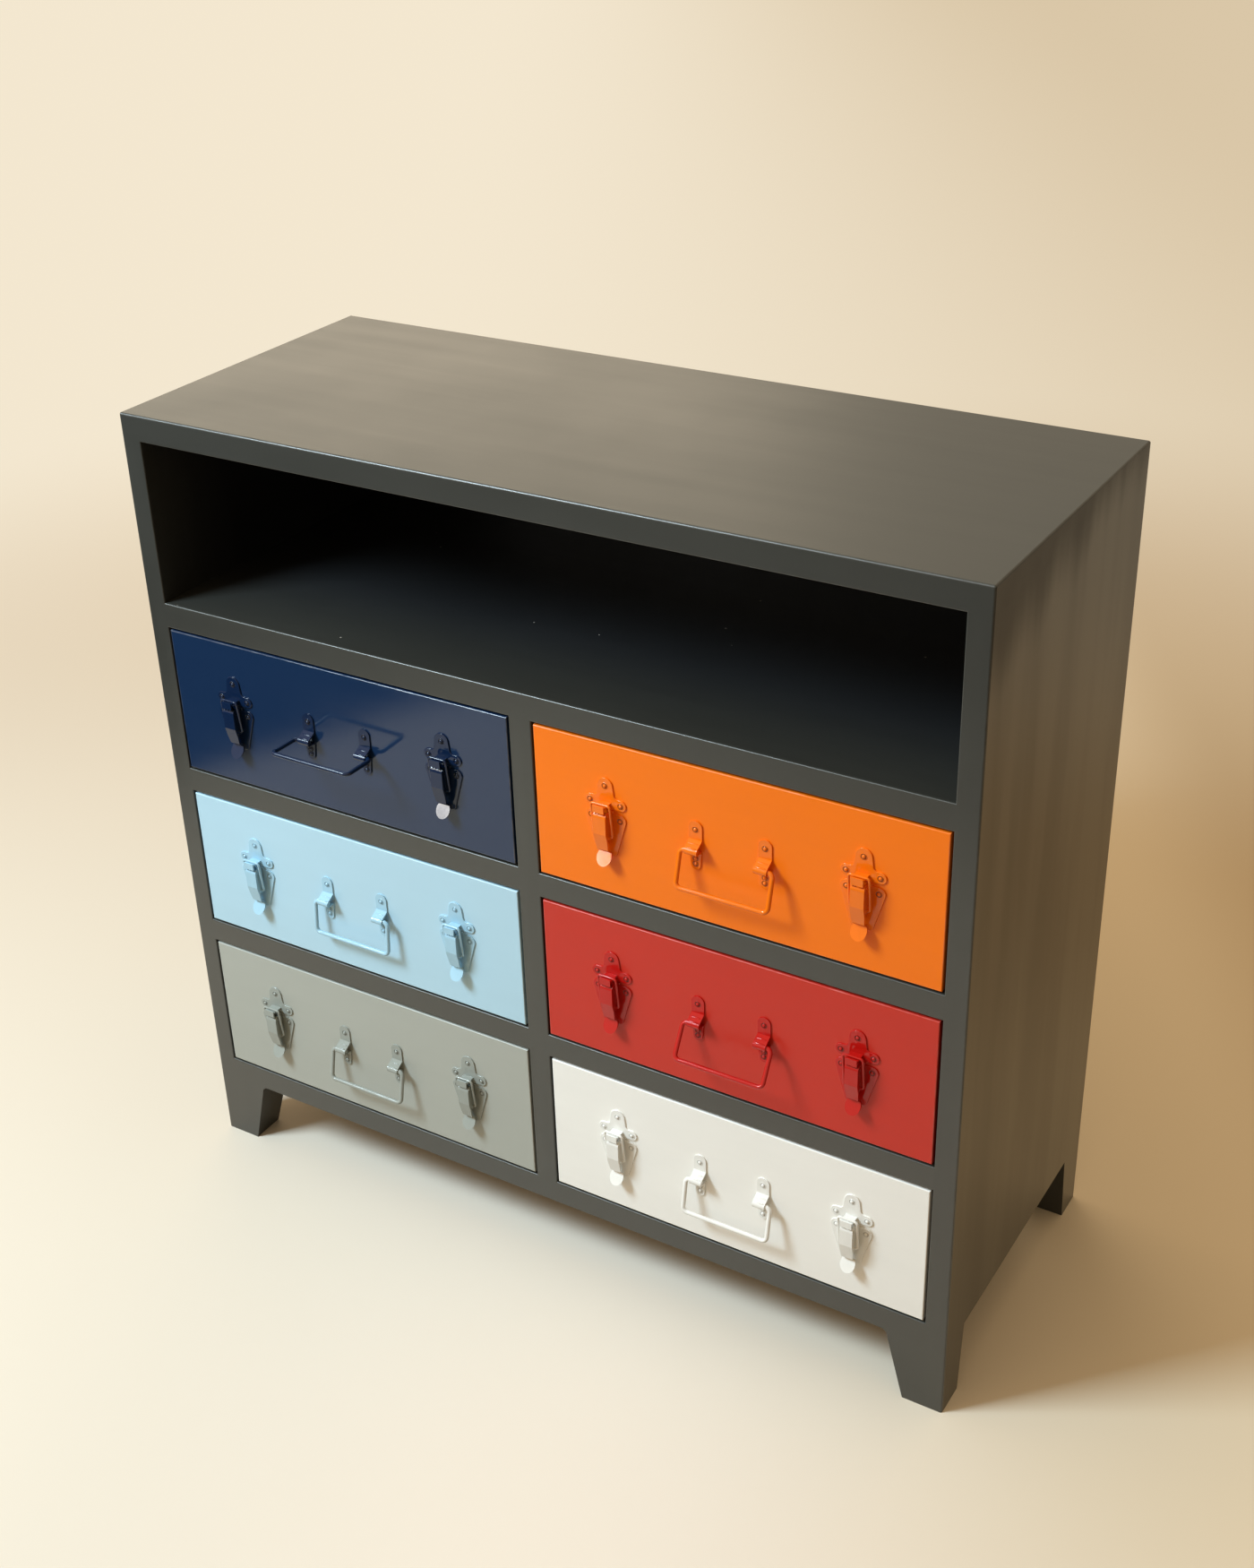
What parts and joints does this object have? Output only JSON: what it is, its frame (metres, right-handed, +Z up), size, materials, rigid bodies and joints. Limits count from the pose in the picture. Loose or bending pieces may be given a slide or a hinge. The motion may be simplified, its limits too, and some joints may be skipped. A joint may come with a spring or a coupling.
{
  "type": "chest of drawers",
  "caption": "Painted wooden chest on tapered feet with an open compartment above sliding drawers; each drawer has a swinging bail handle and draw latches.",
  "frame": {"origin": "on the floor, under the middle of the whole chest with its handles", "axes": "+X along the front to the right of someone facing it, +Y to the back, +Z up"},
  "size_m": [0.88, 0.4006, 0.851],
  "materials": {
    "carcass_paint": "charcoal satin paint",
    "drawer_wood": "bare, sanded",
    "navy_front_paint": "navy gloss paint",
    "navy_metal_paint": "navy gloss paint",
    "light_blue_front_paint": "light blue gloss paint",
    "light_blue_metal_paint": "light blue gloss paint",
    "grey_front_paint": "grey gloss paint",
    "grey_metal_paint": "grey gloss paint",
    "orange_front_paint": "orange gloss paint",
    "orange_metal_paint": "orange gloss paint",
    "red_front_paint": "red gloss paint",
    "red_metal_paint": "red gloss paint",
    "white_front_paint": "white gloss paint",
    "white_metal_paint": "white gloss paint"
  },
  "bodies": {
    "cabinet": {"top_panel": "carcass_paint", "left_side": "carcass_paint", "right_side": "carcass_paint", "compartment_shelf": "carcass_paint", "centre_divider": "carcass_paint", "bottom_panel": "carcass_paint", "back_panel": "carcass_paint", "drawer_rails": "carcass_paint", "drawer_runners": "carcass_paint", "feet": "carcass_paint"},
    "navy_drawer": {"navy_front": "navy_front_paint", "navy_box": "drawer_wood", "navy_fittings": "navy_metal_paint"},
    "navy_bail": {"navy_bail": "navy_metal_paint"},
    "navy_left_lever": {"navy_left_lever": "navy_metal_paint"},
    "navy_left_link": {"navy_left_link": "navy_metal_paint"},
    "navy_right_lever": {"navy_right_lever": "navy_metal_paint"},
    "navy_right_link": {"navy_right_link": "navy_metal_paint"},
    "light_blue_drawer": {"light_blue_front": "light_blue_front_paint", "light_blue_box": "drawer_wood", "light_blue_fittings": "light_blue_metal_paint"},
    "light_blue_bail": {"light_blue_bail": "light_blue_metal_paint"},
    "light_blue_left_lever": {"light_blue_left_lever": "light_blue_metal_paint"},
    "light_blue_left_link": {"light_blue_left_link": "light_blue_metal_paint"},
    "light_blue_right_lever": {"light_blue_right_lever": "light_blue_metal_paint"},
    "light_blue_right_link": {"light_blue_right_link": "light_blue_metal_paint"},
    "grey_drawer": {"grey_front": "grey_front_paint", "grey_box": "drawer_wood", "grey_fittings": "grey_metal_paint"},
    "grey_bail": {"grey_bail": "grey_metal_paint"},
    "grey_left_lever": {"grey_left_lever": "grey_metal_paint"},
    "grey_left_link": {"grey_left_link": "grey_metal_paint"},
    "grey_right_lever": {"grey_right_lever": "grey_metal_paint"},
    "grey_right_link": {"grey_right_link": "grey_metal_paint"},
    "orange_drawer": {"orange_front": "orange_front_paint", "orange_box": "drawer_wood", "orange_fittings": "orange_metal_paint"},
    "orange_bail": {"orange_bail": "orange_metal_paint"},
    "orange_left_lever": {"orange_left_lever": "orange_metal_paint"},
    "orange_left_link": {"orange_left_link": "orange_metal_paint"},
    "orange_right_lever": {"orange_right_lever": "orange_metal_paint"},
    "orange_right_link": {"orange_right_link": "orange_metal_paint"},
    "red_drawer": {"red_front": "red_front_paint", "red_box": "drawer_wood", "red_fittings": "red_metal_paint"},
    "red_bail": {"red_bail": "red_metal_paint"},
    "red_left_lever": {"red_left_lever": "red_metal_paint"},
    "red_left_link": {"red_left_link": "red_metal_paint"},
    "red_right_lever": {"red_right_lever": "red_metal_paint"},
    "red_right_link": {"red_right_link": "red_metal_paint"},
    "white_drawer": {"white_front": "white_front_paint", "white_box": "drawer_wood", "white_fittings": "white_metal_paint"},
    "white_bail": {"white_bail": "white_metal_paint"},
    "white_left_lever": {"white_left_lever": "white_metal_paint"},
    "white_left_link": {"white_left_link": "white_metal_paint"},
    "white_right_lever": {"white_right_lever": "white_metal_paint"},
    "white_right_link": {"white_right_link": "white_metal_paint"}
  },
  "joints": [
    {"name": "navy_slide", "type": "slide", "parent": "cabinet", "child": "navy_drawer", "axis": [0, -1, 0], "range_m": [0, 0.24]},
    {"name": "navy_bail_swing", "type": "hinge", "parent": "navy_drawer", "child": "navy_bail", "pos_m": [-0.215, -0.16216, 0.5515], "axis": [-1, 0, 0], "range_deg": [-92, 88]},
    {"name": "navy_left_lever_turn", "type": "hinge", "parent": "navy_drawer", "child": "navy_left_lever", "pos_m": [-0.341, -0.16116, 0.561], "axis": [-1, 0, 0], "range_deg": [0, 90]},
    {"name": "navy_left_link_turn", "type": "hinge", "parent": "navy_left_lever", "child": "navy_left_link", "pos_m": [-0.341, -0.15986, 0.54], "axis": [-1, 0, 0], "range_deg": [-41, 0]},
    {"name": "navy_right_lever_turn", "type": "hinge", "parent": "navy_drawer", "child": "navy_right_lever", "pos_m": [-0.089, -0.16116, 0.561], "axis": [-1, 0, 0], "range_deg": [0, 90]},
    {"name": "navy_right_link_turn", "type": "hinge", "parent": "navy_right_lever", "child": "navy_right_link", "pos_m": [-0.089, -0.15986, 0.54], "axis": [-1, 0, 0], "range_deg": [-41, 0]},
    {"name": "light_blue_slide", "type": "slide", "parent": "cabinet", "child": "light_blue_drawer", "axis": [0, -1, 0], "range_m": [0, 0.24]},
    {"name": "light_blue_bail_swing", "type": "hinge", "parent": "light_blue_drawer", "child": "light_blue_bail", "pos_m": [-0.215, -0.16216, 0.3665], "axis": [-1, 0, 0], "range_deg": [-5, 175]},
    {"name": "light_blue_left_lever_turn", "type": "hinge", "parent": "light_blue_drawer", "child": "light_blue_left_lever", "pos_m": [-0.341, -0.16116, 0.376], "axis": [-1, 0, 0], "range_deg": [0, 90]},
    {"name": "light_blue_left_link_turn", "type": "hinge", "parent": "light_blue_left_lever", "child": "light_blue_left_link", "pos_m": [-0.341, -0.15986, 0.355], "axis": [-1, 0, 0], "range_deg": [-41, 0]},
    {"name": "light_blue_right_lever_turn", "type": "hinge", "parent": "light_blue_drawer", "child": "light_blue_right_lever", "pos_m": [-0.089, -0.16116, 0.376], "axis": [-1, 0, 0], "range_deg": [0, 90]},
    {"name": "light_blue_right_link_turn", "type": "hinge", "parent": "light_blue_right_lever", "child": "light_blue_right_link", "pos_m": [-0.089, -0.15986, 0.355], "axis": [-1, 0, 0], "range_deg": [-41, 0]},
    {"name": "grey_slide", "type": "slide", "parent": "cabinet", "child": "grey_drawer", "axis": [0, -1, 0], "range_m": [0, 0.24]},
    {"name": "grey_bail_swing", "type": "hinge", "parent": "grey_drawer", "child": "grey_bail", "pos_m": [-0.215, -0.16216, 0.1815], "axis": [-1, 0, 0], "range_deg": [-12, 168]},
    {"name": "grey_left_lever_turn", "type": "hinge", "parent": "grey_drawer", "child": "grey_left_lever", "pos_m": [-0.341, -0.16116, 0.191], "axis": [-1, 0, 0], "range_deg": [0, 90]},
    {"name": "grey_left_link_turn", "type": "hinge", "parent": "grey_left_lever", "child": "grey_left_link", "pos_m": [-0.341, -0.15986, 0.17], "axis": [-1, 0, 0], "range_deg": [-41, 0]},
    {"name": "grey_right_lever_turn", "type": "hinge", "parent": "grey_drawer", "child": "grey_right_lever", "pos_m": [-0.089, -0.16116, 0.191], "axis": [-1, 0, 0], "range_deg": [0, 90]},
    {"name": "grey_right_link_turn", "type": "hinge", "parent": "grey_right_lever", "child": "grey_right_link", "pos_m": [-0.089, -0.15986, 0.17], "axis": [-1, 0, 0], "range_deg": [-41, 0]},
    {"name": "orange_slide", "type": "slide", "parent": "cabinet", "child": "orange_drawer", "axis": [0, -1, 0], "range_m": [0, 0.24]},
    {"name": "orange_bail_swing", "type": "hinge", "parent": "orange_drawer", "child": "orange_bail", "pos_m": [0.215, -0.16216, 0.5515], "axis": [-1, 0, 0], "range_deg": [-16, 164]},
    {"name": "orange_left_lever_turn", "type": "hinge", "parent": "orange_drawer", "child": "orange_left_lever", "pos_m": [0.089, -0.16116, 0.561], "axis": [-1, 0, 0], "range_deg": [0, 90]},
    {"name": "orange_left_link_turn", "type": "hinge", "parent": "orange_left_lever", "child": "orange_left_link", "pos_m": [0.089, -0.15986, 0.54], "axis": [-1, 0, 0], "range_deg": [-41, 0]},
    {"name": "orange_right_lever_turn", "type": "hinge", "parent": "orange_drawer", "child": "orange_right_lever", "pos_m": [0.341, -0.16116, 0.561], "axis": [-1, 0, 0], "range_deg": [0, 90]},
    {"name": "orange_right_link_turn", "type": "hinge", "parent": "orange_right_lever", "child": "orange_right_link", "pos_m": [0.341, -0.15986, 0.54], "axis": [-1, 0, 0], "range_deg": [-41, 0]},
    {"name": "red_slide", "type": "slide", "parent": "cabinet", "child": "red_drawer", "axis": [0, -1, 0], "range_m": [0, 0.24]},
    {"name": "red_bail_swing", "type": "hinge", "parent": "red_drawer", "child": "red_bail", "pos_m": [0.215, -0.16216, 0.3665], "axis": [-1, 0, 0], "range_deg": [-30, 150]},
    {"name": "red_left_lever_turn", "type": "hinge", "parent": "red_drawer", "child": "red_left_lever", "pos_m": [0.089, -0.16116, 0.376], "axis": [-1, 0, 0], "range_deg": [0, 90]},
    {"name": "red_left_link_turn", "type": "hinge", "parent": "red_left_lever", "child": "red_left_link", "pos_m": [0.089, -0.15986, 0.355], "axis": [-1, 0, 0], "range_deg": [-41, 0]},
    {"name": "red_right_lever_turn", "type": "hinge", "parent": "red_drawer", "child": "red_right_lever", "pos_m": [0.341, -0.16116, 0.376], "axis": [-1, 0, 0], "range_deg": [0, 90]},
    {"name": "red_right_link_turn", "type": "hinge", "parent": "red_right_lever", "child": "red_right_link", "pos_m": [0.341, -0.15986, 0.355], "axis": [-1, 0, 0], "range_deg": [-41, 0]},
    {"name": "white_slide", "type": "slide", "parent": "cabinet", "child": "white_drawer", "axis": [0, -1, 0], "range_m": [0, 0.24]},
    {"name": "white_bail_swing", "type": "hinge", "parent": "white_drawer", "child": "white_bail", "pos_m": [0.215, -0.16216, 0.1815], "axis": [-1, 0, 0], "range_deg": [-12, 168]},
    {"name": "white_left_lever_turn", "type": "hinge", "parent": "white_drawer", "child": "white_left_lever", "pos_m": [0.089, -0.16116, 0.191], "axis": [-1, 0, 0], "range_deg": [0, 90]},
    {"name": "white_left_link_turn", "type": "hinge", "parent": "white_left_lever", "child": "white_left_link", "pos_m": [0.089, -0.15986, 0.17], "axis": [-1, 0, 0], "range_deg": [-41, 0]},
    {"name": "white_right_lever_turn", "type": "hinge", "parent": "white_drawer", "child": "white_right_lever", "pos_m": [0.341, -0.16116, 0.191], "axis": [-1, 0, 0], "range_deg": [0, 90]},
    {"name": "white_right_link_turn", "type": "hinge", "parent": "white_right_lever", "child": "white_right_link", "pos_m": [0.341, -0.15986, 0.17], "axis": [-1, 0, 0], "range_deg": [-41, 0]}
  ],
  "couplings": [
    {"joint": "navy_left_link_turn", "follows": "navy_left_lever_turn", "ratio": -0.45},
    {"joint": "navy_right_link_turn", "follows": "navy_right_lever_turn", "ratio": -0.45},
    {"joint": "light_blue_left_link_turn", "follows": "light_blue_left_lever_turn", "ratio": -0.45},
    {"joint": "light_blue_right_link_turn", "follows": "light_blue_right_lever_turn", "ratio": -0.45},
    {"joint": "grey_left_link_turn", "follows": "grey_left_lever_turn", "ratio": -0.45},
    {"joint": "grey_right_link_turn", "follows": "grey_right_lever_turn", "ratio": -0.45},
    {"joint": "orange_left_link_turn", "follows": "orange_left_lever_turn", "ratio": -0.45},
    {"joint": "orange_right_link_turn", "follows": "orange_right_lever_turn", "ratio": -0.45},
    {"joint": "red_left_link_turn", "follows": "red_left_lever_turn", "ratio": -0.45},
    {"joint": "red_right_link_turn", "follows": "red_right_lever_turn", "ratio": -0.45},
    {"joint": "white_left_link_turn", "follows": "white_left_lever_turn", "ratio": -0.45},
    {"joint": "white_right_link_turn", "follows": "white_right_lever_turn", "ratio": -0.45}
  ]
}
